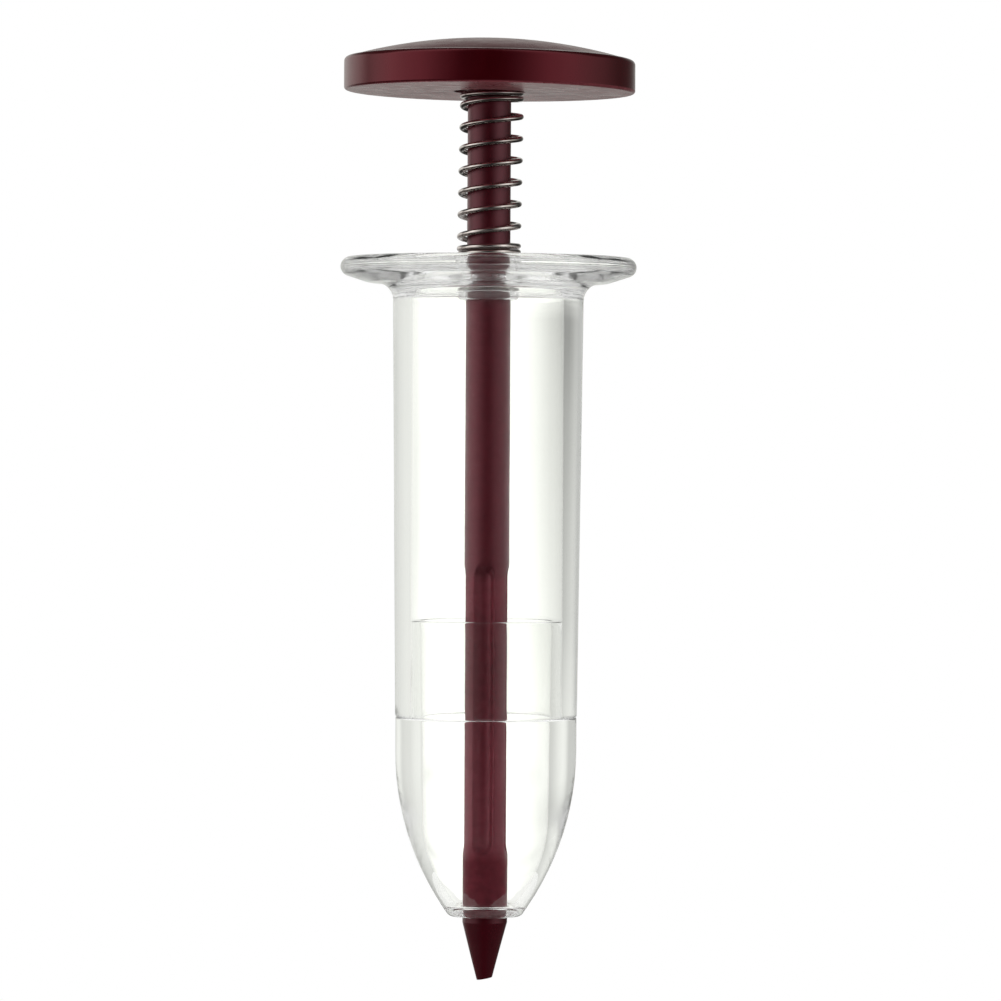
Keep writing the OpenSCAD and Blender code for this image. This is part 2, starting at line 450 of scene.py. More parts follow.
    def white(self, strength: float) -> Node:
        """Add a white Background node."""
        return self.add("ShaderNodeBackground", Color=WHITE, Strength=strength)

    def blend(self, factor: Socket, first: Node, second: Node) -> Node:
        """Mix two shaders by a factor.

        Args:
            factor: Share of the second shader.
            first: Shader at a factor of 0.
            second: Shader at a factor of 1.

        Returns:
            The mix.
        """
        node = self.add("ShaderNodeMixShader", Fac=factor)
        self.feed(node.inputs[1], first.outputs[0])
        self.feed(node.inputs[2], second.outputs[0])
        return node

    def bump(self, shader: Node, height: Socket, strength: float, distance: float) -> None:
        """Raise the surface of a shader by a height, through a Bump node."""
        node = self.add("ShaderNodeBump", Height=height, Strength=strength, Distance=distance)
        self.feed(shader.inputs["Normal"], node.outputs["Normal"])


@dataclass(frozen=True)
class Grain:
    """A noise pattern: its features per metre, its octaves of detail and its stretch by axis."""

    scale: float
    detail: float
    stretch: tuple[float, float, float] = (1.0, 1.0, 1.0)

    def factor(self, graph: Graph, vector: Socket) -> Socket:
        """Add the pattern over a vector.

        Args:
            graph: Graph of the material.
            vector: Socket of a place.

        Returns:
            The pattern's value, from 0 to 1.
        """
        placed = graph.add("ShaderNodeMapping", Vector=vector, Scale=self.stretch).outputs["Vector"]
        noise = graph.add("ShaderNodeTexNoise", Vector=placed, Scale=self.scale, Detail=self.detail)
        return noise.outputs["Fac"]


def node_material(name: str) -> tuple[bpy.types.Material, Graph]:
    """Start an empty node material.

    Args:
        name: Name of the material.

    Returns:
        The material and its graph.
    """
    material = bpy.data.materials.new(name)
    material.use_nodes = True
    return material, Graph(material.node_tree)


def new_finish(name: str) -> tuple[bpy.types.Material, Graph, Node]:
    """Start the material of a finish.

    Args:
        name: Name of the material.

    Returns:
        The material, its graph, and its Principled node already joined to the output.
    """
    material, graph = node_material(name)
    shader = graph.add("ShaderNodeBsdfPrincipled")
    graph.add("ShaderNodeOutputMaterial", Surface=shader.outputs["BSDF"])
    return material, graph, shader


@dataclass(frozen=True)
class ClearPlastic:
    """Glossy clear styrene, with the faint waves, haze and specks of a moulding."""

    name: str
    scuffed_from: float
    scuffed_to: float
    clear: Colour = (0.996, 0.998, 0.992)
    cloudy: Colour = (0.988, 0.992, 0.982)
    ior: float = 1.49
    waves: Grain = Grain(140.0, 2.0, (1.0, 1.0, 0.45))
    wave_bump: float = 0.02
    wave_h: float = 1.0 * MM
    smudges: Grain = Grain(260.0, 4.0)
    cloud_span: Span = (0.4, 0.8)
    polish: float = 0.02
    haze: float = 0.05
    haze_span: Span = (0.45, 0.8)
    streaks: Grain = Grain(1.0, 3.0, (90.0, 90.0, 1100.0))
    streak_span: Span = (0.35, 0.70)
    streak_relief: float = 0.6
    scuff_least: float = 0.02
    scuff: float = 0.06
    milk_least: float = 0.005
    milk: float = 0.05

    def material(self) -> bpy.types.Material:
        """Build the node material, with milky scuffs that fade in between two heights.

        Returns:
            The new material.
        """
        material, graph, shader = new_finish(self.name)
        where = graph.place()
        zone = graph.zone(where, self.scuffed_from, self.scuffed_to)
        smudges = self.smudges.factor(graph, where)
        streaks = self.streaks.factor(graph, where)
        milky = graph.between(streaks, self.streak_span, self.milk_least, self.milk)
        scuffed = graph.between(streaks, self.streak_span, self.scuff_least, self.scuff)
        polish = graph.between(smudges, self.haze_span, self.polish, self.haze)
        relief = graph.maths("MULTIPLY", zone, self.streak_relief)
        height = graph.maths("MULTIPLY_ADD", streaks, relief, self.waves.factor(graph, where))
        graph.bump(shader, height, self.wave_bump, self.wave_h)
        graph.join(
            shader,
            Base_Color=graph.between(smudges, self.cloud_span, self.clear, self.cloudy),
            Transmission_Weight=graph.maths("SUBTRACT", 1.0, graph.maths("MULTIPLY", zone, milky)),
            Roughness=graph.maths("ADD", polish, graph.maths("MULTIPLY", zone, scuffed)),
            IOR=self.ior,
        )
        return material


@dataclass(frozen=True)
class MaroonPlastic:
    """Semi-gloss maroon moulding, with flow marks, fine scuffs and handling smudges."""

    name: str
    deep: Colour = (0.052, 0.0005, 0.0036)
    light: Colour = (0.070, 0.0010, 0.0058)
    # Paler colour that the stops mix in; on the button it is painted light.
    pale_and_lit: Colour = (0.248, 0.0270, 0.0480)
    sheen: Colour = (1.0, 0.44, 0.53)
    ior: float = 1.76
    flow: Grain = Grain(220.0, 4.0, (1.0, 1.0, 0.3))
    flow_span: Span = (0.3, 0.7)
    smudges: Grain = Grain(420.0, 5.0)
    smudge_span: Span = (0.3, 0.75)
    gloss: float = 0.26
    scuff: float = 0.10
    wear_and_light: Stops = ()
    wear_and_light_grain: Grain = Grain(900.0, 4.0)
    wear_and_light_span: Span = (0.35, 0.65)
    wear_and_light_least: float = 0.75
    wear_scuff: float = 0.12
    shine: Stops = ()
    skin: Grain = Grain(1500.0, 2.0)
    skin_bump: float = 0.05
    skin_h: float = 0.1 * MM

    def material(self) -> bpy.types.Material:
        """Build the node material, with paler, rougher parts and shine by their (height, level) stops.

        Returns:
            The new material.
        """
        material, graph, shader = new_finish(self.name)
        where = graph.place()
        tone = graph.between(self.flow.factor(graph, where), self.flow_span, self.deep, self.light)
        smudges = self.smudges.factor(graph, where)
        roughness = graph.between(smudges, self.smudge_span, self.gloss, self.gloss + self.scuff)
        # A paler colour and more roughness by height; on the button the paler colour is painted light.
        if self.wear_and_light:
            grain = self.wear_and_light_grain.factor(graph, where)
            mottle = graph.between(grain, self.wear_and_light_span, self.wear_and_light_least, 1.0)
            worn_and_lit = graph.maths("MULTIPLY", graph.profile(where, self.wear_and_light), mottle)
            tone = graph.tint(worn_and_lit, tone, (*self.pale_and_lit, 1.0))
            roughness = graph.maths("MULTIPLY_ADD", worn_and_lit, self.wear_scuff, roughness)
        if self.shine:
            graph.join(shader, Specular_IOR_Level=graph.profile(where, self.shine))
        sheen = (*self.sheen, 1.0)
        graph.join(shader, Base_Color=tone, Roughness=roughness, IOR=self.ior, Specular_Tint=sheen)
        graph.bump(shader, self.skin.factor(graph, where), self.skin_bump, self.skin_h)
        return material


@dataclass(frozen=True)
class SpringSteel:
    """Drawn wire, with die lines along it, a little tarnish and painted shade where it faces down."""

    name: str
    bright: Colour = (0.84, 0.76, 0.75)
    dull: Colour = (0.44, 0.39, 0.36)
    # Painted shade where the wire faces down, and the heights of its normal over which it comes in.
    painted_shade: Colour = (0.15, 0.12, 0.11)
    painted_shade_from: float = 0.05
    painted_shade_to: float = -0.45
    tarnish: Grain = Grain(700.0, 4.0)
    tarnish_span: Span = (0.35, 0.75)
    lines: Grain = Grain(1.0, 3.0, (60.0, 14.0, 1.0))
    line_span: Span = (0.3, 0.7)
    line_bump: float = 0.04
    line_h: float = 0.02 * MM
    polish: float = 0.05
    drawn: float = 0.12

    def material(self) -> bpy.types.Material:
        """Build the node material, with painted shade by the slope of the wire's surface.

        Returns:
            The new material.
        """
        material, graph, shader = new_finish(self.name)
        along = graph.add("ShaderNodeUVMap", {"uv_map": WIRE_MAP}).outputs["UV"]
        lines = self.lines.factor(graph, along)
        tarnish = self.tarnish.factor(graph, graph.place())
        steel = graph.between(tarnish, self.tarnish_span, self.bright, self.dull)
        slope = graph.add("ShaderNodeNewGeometry").outputs["Normal"]
        # Painted shade: the wire is darker where its surface faces down.
        under = graph.zone(slope, self.painted_shade_from, self.painted_shade_to)
        graph.join(
            shader,
            Base_Color=graph.tint(under, steel, (*self.painted_shade, 1.0)),
            Roughness=graph.between(lines, self.line_span, self.polish, self.drawn),
            Metallic=1.0,
        )
        graph.bump(shader, lines, self.line_bump, self.line_h)
        return material


def dress(piece: bpy.types.Object, material: bpy.types.Material, body: Body, node: str) -> None:
    """Give a piece its finish and set it on its body in place of a CAD node.

    Args:
        piece: The piece.
        material: Its finish.
        body: Body that it rides on.
        node: CAD node that it stands for.
    """
    piece.data.materials.append(material)
    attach(piece, body.value)
    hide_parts(node)
    LOG.info("%s rides on %s for node %s: %d faces", piece.name, body.value, node, len(piece.data.polygons))


# Sub-assemblies


@dataclass
class Barrel:
    """Clear barrel: finger flange, tapered tube, end wall and guide boss in one moulding."""

    flange_r: float
    flange_t: float
    end_z: float
    finish: ClearPlastic
    flat_w: float = 1.0 * MM
    flat_corner_r: float = 2.0 * MM
    rim_rise: float = math.radians(18.0)
    fillet_r: float = 2.5 * MM
    top_r: float = 13.65 * MM
    end_r: float = 13.0 * MM
    bore_r: float = 10.85 * MM
    end_wall_t: float = 3.0 * MM
    ceiling_fillet_r: float = 1.0 * MM
    boss_r: float = 4.3 * MM
    boss_len: float = 3.0 * MM
    boss_fillet_r: float = 0.5 * MM
    boss_edge_r: float = 0.4 * MM
    guide_r: float = 3.16 * MM
    arc_step: float = math.radians(4.0)
    columns: int = 192

    @classmethod
    def from_frame(cls, finish: ClearPlastic) -> "Barrel":
        """Take the overall sizes from the CAD node."""
        low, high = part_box("barrel")
        return cls(flange_r=high.x, flange_t=high.z, end_z=low.z, finish=finish)

    def build(self) -> bpy.types.Object:
        """Turn the barrel's section round the axis and dress it.

        The rim is the circle that touches the flange's top, its edge and the rising underside: its
        radius is (t cos a - w sin a) / (1 + cos a - sin a), for a rise of a over a width of w.

        Returns:
            The barrel.
        """
        sine, cosine = math.sin(self.rim_rise), math.cos(self.rim_rise)
        flat_r = self.top_r + self.fillet_r + self.flat_w
        width = self.flange_r - flat_r
        rim_r = (self.flange_t * cosine - width * sine) / (1 + cosine - sine)
        ceiling_z = self.flange_t - self.end_wall_t
        boss_z = ceiling_z - self.boss_len
        corners = [
            (self.guide_r, self.flange_t, EDGE),
            (self.flange_r, self.flange_t, rim_r),
            (self.flange_r, width * sine / cosine, rim_r),
            (flat_r, 0.0, self.flat_corner_r),
            (self.top_r, 0.0, self.fillet_r),
            (self.end_r, self.end_z, EDGE),
            (self.bore_r, self.end_z, EDGE),
            (self.bore_r, ceiling_z, self.ceiling_fillet_r),
            (self.boss_r, ceiling_z, self.boss_fillet_r),
            (self.boss_r, boss_z, self.boss_edge_r),
            (self.guide_r, boss_z, EDGE),
        ]
        profile = rounded_path(corners, True, arc_step=self.arc_step)
        piece = lathe(profile, self.columns, Topology.RING).piece("clear_barrel")
        dress(piece, self.finish.material(), Body.BARREL, "barrel")
        return piece


@dataclass
class NoseCone:
    """Clear pull-off nose: plug-in sleeve, ogive shell and floor with the rod's outlet."""

    nose_r: float
    sleeve_z: float
    face_z: float
    seam_z: float
    finish: ClearPlastic
    sleeve_r: float = 10.8 * MM
    cavity_r: float = 9.35 * MM
    cavity_draft: float = 0.45 * MM
    straight: float = 4.85 * MM
    face_r: float = 5.2 * MM
    end_angle: float = math.radians(34.0)
    corner_r: float = 1.0 * MM
    wall: float = 1.6 * MM
    floor_t: float = 1.9 * MM
    outlet_r: float = 3.26 * MM
    cavity_curve_r: float = 21.6 * MM
    seat_gap: float = 0.05 * MM
    seam_corner_r: float = 0.15 * MM
    floor_corner_r: float = 0.4 * MM
    arc_step: float = math.radians(3.0)
    columns: int = 192

    @classmethod
    def from_frame(cls, barrel: Barrel, finish: ClearPlastic) -> "NoseCone":
        """Take the overall sizes from the CAD node and the seam from the barrel.

        Args:
            barrel: Barrel that the nose plugs into.
            finish: Finish of the nose.

        Returns:
            The nose.
        """
        low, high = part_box("nose_cone")
        seam_z = barrel.end_z - cls.seat_gap
        return cls(nose_r=high.x, sleeve_z=high.z, face_z=low.z, seam_z=seam_z, finish=finish)

    def build(self) -> bpy.types.Object:
        """Turn the nose's section round the axis and dress it.

        The outside is one arc that leaves the straight part and runs into a cone of end_angle
        through the rim of the face: its radius is (drop sin a - inset cos a) / (1 - cos a). The
        cavity leaves the floor in a cone one wall inside that, and bends up into its straight part.

        Returns:
            The nose.
        """
        sine, cosine = math.sin(self.end_angle), math.cos(self.end_angle)
        arc_z = self.seam_z - self.straight
        drop, inset = arc_z - self.face_z, self.nose_r - self.face_r
        ogive_r = (drop * sine - inset * cosine) / (1 - cosine)
        bend_z = arc_z - ogive_r * math.tan(self.end_angle / 2)
        floor_z = self.face_z + self.floor_t
        floor_r = self.face_r + self.floor_t * sine / cosine - self.wall / cosine
        cavity_end_r = self.cavity_r - self.cavity_draft
        cavity_bend_z = floor_z + (cavity_end_r - floor_r) * cosine / sine
        corners = [
            (self.cavity_r, self.sleeve_z, EDGE),
            (self.sleeve_r, self.sleeve_z, EDGE),
            (self.sleeve_r, self.seam_z, self.seam_corner_r),
            (self.nose_r, self.seam_z, EDGE),
            (self.nose_r, bend_z, ogive_r),
            (self.face_r, self.face_z, self.corner_r),
            (self.outlet_r, self.face_z, EDGE),
            (self.outlet_r, floor_z, EDGE),
            (floor_r, floor_z, self.floor_corner_r),
            (cavity_end_r, cavity_bend_z, self.cavity_curve_r),
        ]
        profile = rounded_path(corners, True, arc_step=self.arc_step)
        piece = lathe(profile, self.columns, Topology.RING).piece("clear_nose")
        dress(piece, self.finish.material(), Body.NOSE, "nose_cone")
        return piece


@dataclass
class Plunger:
    """Maroon plunger: the fluted rod with its pointed tip, and the thumb button on its spigot."""

    rod_r: float
    top_z: float
    tip_z: float
    button_r: float
    button_z: float
    apex_z: float
    finish_rod: MaroonPlastic
    finish_button: MaroonPlastic
    spigot_r: float = 2.2 * MM
    spigot_len: float = 4.2 * MM
    spigot_edge_r: float = 0.2 * MM
    spindle_r: float = 3.1 * MM
    spindle_edge_r: float = 0.05 * MM
    shoulder_z: float = -2.4 * MM
    shoulder_edge_r: float = 0.04 * MM
    tip_len: float = 8.3 * MM
    tip_bend_r: float = 0.6 * MM
    tip_end_r: float = 1.1 * MM
    tip_edge_r: float = 0.12 * MM
    tip_slant: float = math.radians(10.5)
    flute_count: int = 4
    flute_turn: float = math.radians(-7.0)
    flute_low_z: float = -79.2 * MM
    flute_len: float = 37.3 * MM
    flute_w: float = 2.8 * MM
    flute_depth: float = 1.2 * MM
    lip_r: float = 0.06 * MM
    side_h: float = 4.6 * MM
    edge_r: float = 0.4 * MM
    rim_r: float = 0.7 * MM
    rim_lift: float = 0.02 * MM
    rim_points: int = 2
    dome_points: int = 48
    recess_r: float = 5.1 * MM
    recess_edge_r: float = 0.15 * MM
    recess_room: float = 0.1 * MM
    socket_len: float = 4.5 * MM
    socket_edge_r: float = 0.1 * MM
    button_tilt: float = math.radians(0.55)
    rod_run: float = 0.42 * MM
    rod_columns: int = 192
    button_columns: int = 256

    @classmethod
    def from_frame(cls, finish_rod: MaroonPlastic, finish_button: MaroonPlastic) -> "Plunger":
        """Take the overall sizes from the CAD nodes.

        Args:
            finish_rod: Finish of the rod.
            finish_button: Finish of the button.

        Returns:
            The plunger.
        """
        rod_low, rod_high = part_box("plunger_rod")
        button_low, button_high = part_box("thumb_button")
        return cls(
            rod_r=rod_high.x,
            top_z=rod_high.z,
            tip_z=rod_low.z,
            button_r=button_high.x,
            button_z=button_low.z,
            apex_z=button_high.z,
            finish_rod=finish_rod,
            finish_button=finish_button,
        )

    @property
    def seat_z(self) -> float:
        """Height of the spring's seat under the button."""
        return self.top_z - self.spigot_len

    def fluted(self, radius: np.ndarray, angle: np.ndarray, height: np.ndarray) -> np.ndarray:
        """Cut the ball-ended flutes into a round surface.

        The cutter's circle leaves a flute of the set width and depth. A ray at angle d from a
        cutter of radius c, whose middle is m from the axis, meets it at
        m cos d - sqrt(c^2 - m^2 sin^2 d); past the flute's ends the cutter shrinks as a ball does.
        The cut and the round surface meet in a small rounded lip, by a smooth minimum.

        Args:
            radius: Round radius at each row, shape (rows, 1).
            angle: Angle of each column, shape (1, columns).
            height: Height of each row, shape (rows, 1).

        Returns:
            The radius at each point, shape (rows, columns).
        """
        half_w2 = (self.flute_w / 2) ** 2
        sink = self.flute_depth - self.rod_r + math.sqrt(self.rod_r**2 - half_w2)
        cutter_r = (half_w2 + sink**2) / (2 * sink)
        middle = self.rod_r - self.flute_depth + cutter_r
        past = np.maximum(self.flute_low_z - height, height - (self.flute_low_z + self.flute_len))
        cutter2 = cutter_r**2 - np.maximum(past, 0.0) ** 2
        step = 2 * math.pi / self.flute_count
        front = -math.pi / 2 + self.flute_turn
        off = (angle - front + step / 2) % step - step / 2
        inside = cutter2 - (middle * np.sin(off)) ** 2
        cut = middle * np.cos(off) - np.sqrt(np.maximum(inside, 0.0))
        cut = np.where(inside > 0, cut, 2 * self.rod_r)
        blend = np.maximum(self.lip_r - np.abs(radius - cut), 0.0) / self.lip_r
        return np.minimum(radius, cut) - blend**2 * self.lip_r / 4

    def build_rod(self) -> bpy.types.Object:
        """Turn the rod's profile with its flutes, slant the tip's end and dress the rod.

        The slant raises each point of the tip by (x + end radius) tan(slant), times its share of the
        way from the cone's start to its end.

        Returns:
            The rod.
        """
        cone_z = self.tip_z + self.tip_len
        corners = [
            (0.0, self.top_z, 0.0),
            (self.spigot_r, self.top_z, self.spigot_edge_r),
            (self.spigot_r, self.seat_z, 0.0),
            (self.spindle_r, self.seat_z, self.spindle_edge_r),
            (self.spindle_r, self.shoulder_z, self.shoulder_edge_r),
            (self.rod_r, self.shoulder_z, self.shoulder_edge_r),
            (self.rod_r, cone_z, self.tip_bend_r),
            (self.tip_end_r, self.tip_z, self.tip_edge_r),
            (0.0, self.tip_z, 0.0),
        ]
        path = rounded_path(corners, False, run=self.rod_run)
        body, poles = path[1:-1], path[[0, -1]]
        angle = np.linspace(0, 2 * math.pi, self.rod_columns, endpoint=False)[None, :]
        height = body[:, 1:]
        radius = self.fluted(body[:, :1], angle, height)
        x, y = radius * np.cos(angle), radius * np.sin(angle)
        share = np.clip((cone_z - height) / self.tip_len, 0.0, 1.0)
        z = height + share * (x + self.tip_end_r) * math.tan(self.tip_slant)
        ends = np.insert(poles, 1, 0.0, axis=1)
        ends[1, 2] += self.tip_end_r * math.tan(self.tip_slant)
        piece = Surface.from_grid(np.stack([x, y, z], axis=-1), ends, Topology.POLES).piece("fluted_rod")
        dress(piece, self.finish_rod.material(), Body.PLUNGER, "plunger_rod")
        return piece

    def build_button(self) -> bpy.types.Object:
        """Turn the button's profile, set it a little askew as in the photograph and dress it.

        The dome is one arc from rim to apex, whose first points give way to the rounded rim, and the
        tilt lowers each point by x sin(tilt).

        Returns:
            The button.
        """
        rim_z = self.button_z + self.side_h
        socket_r, socket_z = self.spigot_r + self.recess_room, self.seat_z + self.socket_len
        recess_z = self.seat_z + self.recess_room
        base_r = self.button_r - self.edge_r
        rise = self.apex_z - rim_z
        dome_r = (base_r**2 + rise**2) / (2 * rise)
        sweep = np.linspace(math.acos(base_r / dome_r), math.pi / 2, self.dome_points)
        dome = arc_points((0.0, self.apex_z - dome_r), dome_r, sweep)
        corners = [
            (0.0, socket_z, 0.0),
            (socket_r, socket_z, self.socket_edge_r),
            (socket_r, recess_z, self.socket_edge_r),
            (self.recess_r, recess_z, self.socket_edge_r),
            (self.recess_r, self.button_z, self.recess_edge_r),
            (self.button_r, self.button_z, self.edge_r),
            (self.button_r, rim_z + self.rim_lift, self.rim_r),
            (*dome[self.rim_points], 0.0),
        ]
        profile = np.concatenate([rounded_path(corners, False), dome[self.rim_points + 1:]])
        surface = lathe(profile, self.button_columns, Topology.POLES)
        surface.points[:, 2] -= surface.points[:, 0] * math.sin(self.button_tilt)
        piece = surface.piece("domed_button")
        dress(piece, self.finish_button.material(), Body.PLUNGER, "thumb_button")
        return piece


@dataclass
class ReturnSpring:
    """Steel compression spring round the spindle, with close turns at both ends."""

    seat_z: float
    top_z: float
    finish: SpringSteel
    travel: float
    wire_r: float = 0.4 * MM
    coil_r: float = 4.2 * MM
    turns: float = 9.5
    start_angle: float = math.pi
    close_low: float = 1.6
    close_high: float = 1.25
    blend_turns: float = 0.35
    lean: float = 0.38 * MM
    end_taper: float = 0.72
    rings: int = 64
    sides: int = 16

    @classmethod
    def from_frame(cls, barrel: Barrel, plunger: Plunger, finish: SpringSteel) -> "ReturnSpring":
        """Seat the spring between the flange and the button, and read the plunger's travel.

        Args:
            barrel: Barrel whose flange carries the spring.
            plunger: Plunger whose button rests on it.
            finish: Finish of the wire.

        Returns:
            The spring.
        """
        press = next(joint for joint in frame["joints"] if joint["name"] == "plunger_press")
        travel = max(press["range_m"])
        return cls(seat_z=barrel.flange_t, top_z=plunger.seat_z, finish=finish, travel=travel)

    def middle_line(self) -> tuple[np.ndarray, np.ndarray]:
        """Run the wire's middle line up its helix.

        The pitch is a wire's width at the ends and eases to one even pitch between, which is set
        so that the turns fill the room; the height is the running sum of the pitch. The coil leans
        to the right by a share of its height, as a loose spring does on its spindle.

        Returns:
            The points of the line, and the directions out from the coil's axis to them, each as an
            array of shape (count, 3).
        """
        close_pitch = 2 * self.wire_r + FIT
        span = self.top_z - self.seat_z - 2 * (self.wire_r + FIT)
        count = round(self.turns * self.rings) + 1
        turn = np.linspace(0.0, self.turns, count)
        share = ease((turn - self.close_low) / self.blend_turns + 0.5)
        share *= ease((self.turns - self.close_high - turn) / self.blend_turns + 0.5)
        free = np.concatenate([[0.0], np.cumsum((share[1:] + share[:-1]) / 2)]) * (turn[1] - turn[0])
        open_pitch = (span - close_pitch * self.turns) / free[-1]
        climb = close_pitch * turn + open_pitch * free
        angle = self.start_angle + 2 * math.pi * turn
        out = np.stack([np.cos(angle), np.sin(angle), np.zeros(count)], axis=1)
        middle = self.coil_r * out
        middle[:, 0] += self.lean * climb / span
        middle[:, 2] = self.seat_z + FIT + self.wire_r + climb
        return middle, out

    def wire(self) -> Surface:
        """Sweep the wire's round section along its middle line, smaller at the two ends.

        A point at angle a of the section lies at middle + radius (out cos a + up sin a), where up
        is square to the line and to out. The map runs along the wire in metres, and once round it.

        Returns:
            The wire's surface, with its map.
        """
        middle, out = self.middle_line()
        count = len(middle)
        ahead = np.gradient(middle, axis=0)
        ahead /= np.linalg.norm(ahead, axis=1, keepdims=True)
        up = np.cross(out, ahead)
        around = np.linspace(0, 2 * math.pi, self.sides, endpoint=False)[None, :, None]
        ring = np.cos(around) * out[:, None, :] + np.sin(around) * up[:, None, :]
        size = np.ones(count)
        size[[0, -1]] = self.end_taper
        grid = middle[:, None, :] + self.wire_r * size[:, None, None] * ring
        surface = Surface.from_grid(grid, middle[[0, -1]], Topology.POLES)
        length = np.concatenate([[0.0], np.cumsum(np.linalg.norm(np.diff(middle, axis=0), axis=1))])
        wrap = np.arange(self.sides) / self.sides
        uv = np.stack([np.repeat(length, self.sides), np.tile(wrap, count)], axis=1)
        surface.uv = np.concatenate([uv, uv[[0, -1]]])
        return surface

    def build(self) -> bpy.types.Object:
        """Make the wire, dress it and give it a mesh of its own.

        Returns:
            The spring.
        """
        piece = self.wire().piece("coil_spring")
        dress(piece, self.finish.material(), Body.SPRING, "return_spring")
        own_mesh(piece)
        return piece


# Paler colour and more roughness of the rod by height: most low down, least above the flange.
ROD_PALE_AND_ROUGH = (
    (-90.5 * MM, 0.0), (-89.5 * MM, 0.90), (-82.0 * MM, 0.90), (-80.0 * MM, 1.0), (-43.0 * MM, 1.0),
    (-41.0 * MM, 0.45), (3.4 * MM, 0.45), (3.7 * MM, 0.14),
)

# Paler colour of the button by height: painted light, strong underneath and weaker on the dome.
BUTTON_PAINTED_LIGHT = (
    (27.0 * MM, 0.9), (27.42 * MM, 0.9), (27.62 * MM, 0.0), (32.0 * MM, 0.0), (32.5 * MM, 0.45),
    (35.0 * MM, 0.45),
)

# Shine of the rod by height: matt at the tip and the land above it, polished along the flutes.
ROD_SHINE = (
    (-90.5 * MM, 0.30), (-89.5 * MM, 0.08), (-82.0 * MM, 0.08), (-80.0 * MM, 0.55),
    (-41.0 * MM, 0.50),
)

# Shine of the button by height: dull underneath and on the dome.
BUTTON_SHINE = (
    (27.42 * MM, 0.30), (27.62 * MM, 0.50), (32.0 * MM, 0.50), (32.5 * MM, 0.35),
)


# Studio


@dataclass(frozen=True)
class LightRing:
    """Brightness of the studio by azimuth, in degrees from the camera's side with + to the right."""

    stops: Stops
    tint: Colour = (0.985, 1.0, 0.95)

    def background(self, graph: Graph, share: Socket) -> Node:
        """Add a Background node that shows the ring.

        Args:
            graph: Graph of the world.
            share: Azimuth as a share of a turn, with 0.5 at the camera's side.

        Returns:
            The node, with the ring's levels as shares of its peak, which is the strength.
        """
        peak = max(level for _, level in self.stops)
        stops = [
            (turn_share(azimuth), [level / peak * part for part in self.tint])
            for azimuth, level in self.stops
        ]
        return graph.add("ShaderNodeBackground", Color=graph.ramp(share, stops), Strength=peak)


def turn_share(azimuth: float) -> float:
    """Give the share of a turn at an azimuth in degrees, with 0.5 at the camera's side."""
    return 0.5 + azimuth / 360


# What the maroon plastic and the spring reflect, and what lights them: a dark camera side, a large
# soft box on the left, a smaller one on the right and a grey sweep behind.
ROOM = LightRing(
    (
        (-180, 0.66), (-155, 0.76), (-134, 0.86), (-122, 0.88), (-112, 0.40), (-102, 0.90),
        (-85, 1.25), (-55, 1.00), (-35, 0.40), (-24, 0.12), (0, 0.02), (14, 0.08), (28, 0.35),
        (48, 0.90), (66, 1.02), (80, 0.80), (98, 0.44), (110, 0.22), (124, 0.08), (142, 0.07),
        (155, 0.18), (170, 0.54), (180, 0.66),
    )
)

# What the rod reflects behind the clear plastic, which gathers light on it.
INNER = LightRing(
    (
        (-180, 0.90), (-155, 1.00), (-134, 1.15), (-122, 1.20), (-102, 1.40), (-85, 1.60),
        (-55, 1.35), (-35, 0.65), (-24, 0.25), (-8, 0.02), (6, 0.02), (16, 0.15), (30, 0.45),
        (48, 0.85), (66, 0.88), (80, 0.78), (96, 0.82), (112, 1.05), (142, 0.90), (180, 0.90),
    )
)

# What shows by steep light from below within the plastic: a glow that leaves out the camera's side.
FOOT = LightRing(
    (
        (-180, 0.75), (-60, 0.75), (-30, 0.05), (30, 0.05), (60, 0.75), (180, 0.75),
    )
)

# What shows by a reflection within the clear plastic: the same room, with more of the sweep.
SHELL = LightRing(
    (
        (-180, 0.66), (-155, 0.76), (-134, 0.86), (-122, 0.88), (-112, 0.60), (-102, 0.90),
        (-85, 1.10), (-55, 0.85), (-35, 0.55), (-26, 0.30), (-14, 0.04), (0, 0.01), (14, 0.04),
        (26, 0.26), (40, 0.48), (48, 0.60), (66, 0.70), (80, 0.54), (96, 0.50), (110, 0.60),
        (124, 0.66), (142, 0.88), (155, 0.98), (165, 0.94), (175, 0.74), (180, 0.66),
    )
)

# What shows through the clear plastic: the white sweep, brighter than white as it is behind the
# object, with a greyer band on each side of its middle.
SWEEP = LightRing(
    (
        (-180, 1.38), (-171, 1.28), (-162, 1.12), (-154, 1.02), (-130, 1.15), (-90, 1.25),
        (90, 1.50), (130, 1.25), (150, 1.12), (158, 1.04), (166, 1.06), (172, 1.14), (176, 1.25),
        (180, 1.38),
    )
)

# The same for light from above or below the horizon, where those bands are paler.
SWEEP_LOW = LightRing(
    (
        (-180, 1.38), (-150, 1.25), (-90, 1.25), (90, 1.50), (120, 1.28), (134, 1.16), (146, 1.12),
        (158, 1.10), (162, 1.12), (166, 1.18), (172, 1.30), (180, 1.38),
    )
)

# Tint of the grey gel that stands round the right of the barrel's back: its depth by azimuth in
# degrees, and the share of that depth by height.
GEL_AROUND = (
    (100, 0.0), (112, 0.40), (120, 0.54), (133, 0.62), (147, 0.52), (158, 0.42), (166, 0.32),
    (172, 0.14), (177, 0.0),
)
GEL_UP = (
    (-66.0 * MM, 0.0), (-50.0 * MM, 0.38), (-33.0 * MM, 0.52), (-16.0 * MM, 0.72), (-1.0 * MM, 1.0),
    (5.0 * MM, 0.0),
)


def stage_piece(
    name: str, finish: str, points: np.ndarray, faces: np.ndarray
) -> tuple[bpy.types.Object, Graph]:
    """Make a piece of the studio with an empty material of its own.

    Args:
        name: Name of the piece.
        finish: Name of its material.
        points: Its points, as an array of shape (count, 3).
        faces: Its faces, as rows of point numbers.

    Returns:
        The piece, and the graph of its material.
    """
    mesh = bpy.data.meshes.new(name)
    mesh.from_pydata(points.tolist(), [], faces.tolist())
    material, graph = node_material(finish)
    mesh.materials.append(material)
    return linked(name, mesh), graph


